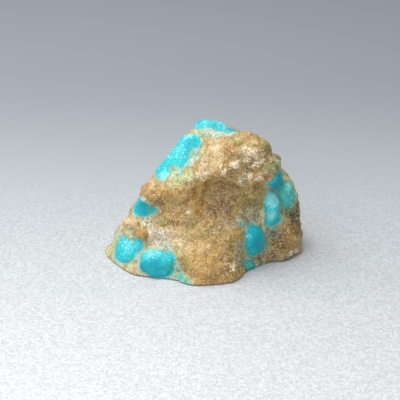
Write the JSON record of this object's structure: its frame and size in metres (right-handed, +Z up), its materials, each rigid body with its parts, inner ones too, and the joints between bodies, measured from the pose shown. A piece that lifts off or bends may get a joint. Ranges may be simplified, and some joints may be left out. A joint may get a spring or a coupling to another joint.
{
  "type": "rough turquoise specimen",
  "caption": "Rough natural turquoise specimen: a hand-broken chunk of sandy quartz host rock with raised turquoise nodules and patches, standing on its flattest side.",
  "frame": {"origin": "on the flat underside that the stone stands on, below the middle of its length and just in front of the middle of its depth", "axes": "+X along the stone's length, to the viewer's right from the front; -Y is the front, where the foot juts out; +Z up"},
  "size_m": [0.0273, 0.0175, 0.0189],
  "materials": {
    "turquoise_in_host_rock": "sugary, slightly glittering tan to brown sandstone and quartz, with waxy sky-blue to blue-green turquoise nodules and patches"
  },
  "bodies": {
    "root": {"turquoise_stone": "turquoise_in_host_rock"}
  },
  "joints": []
}
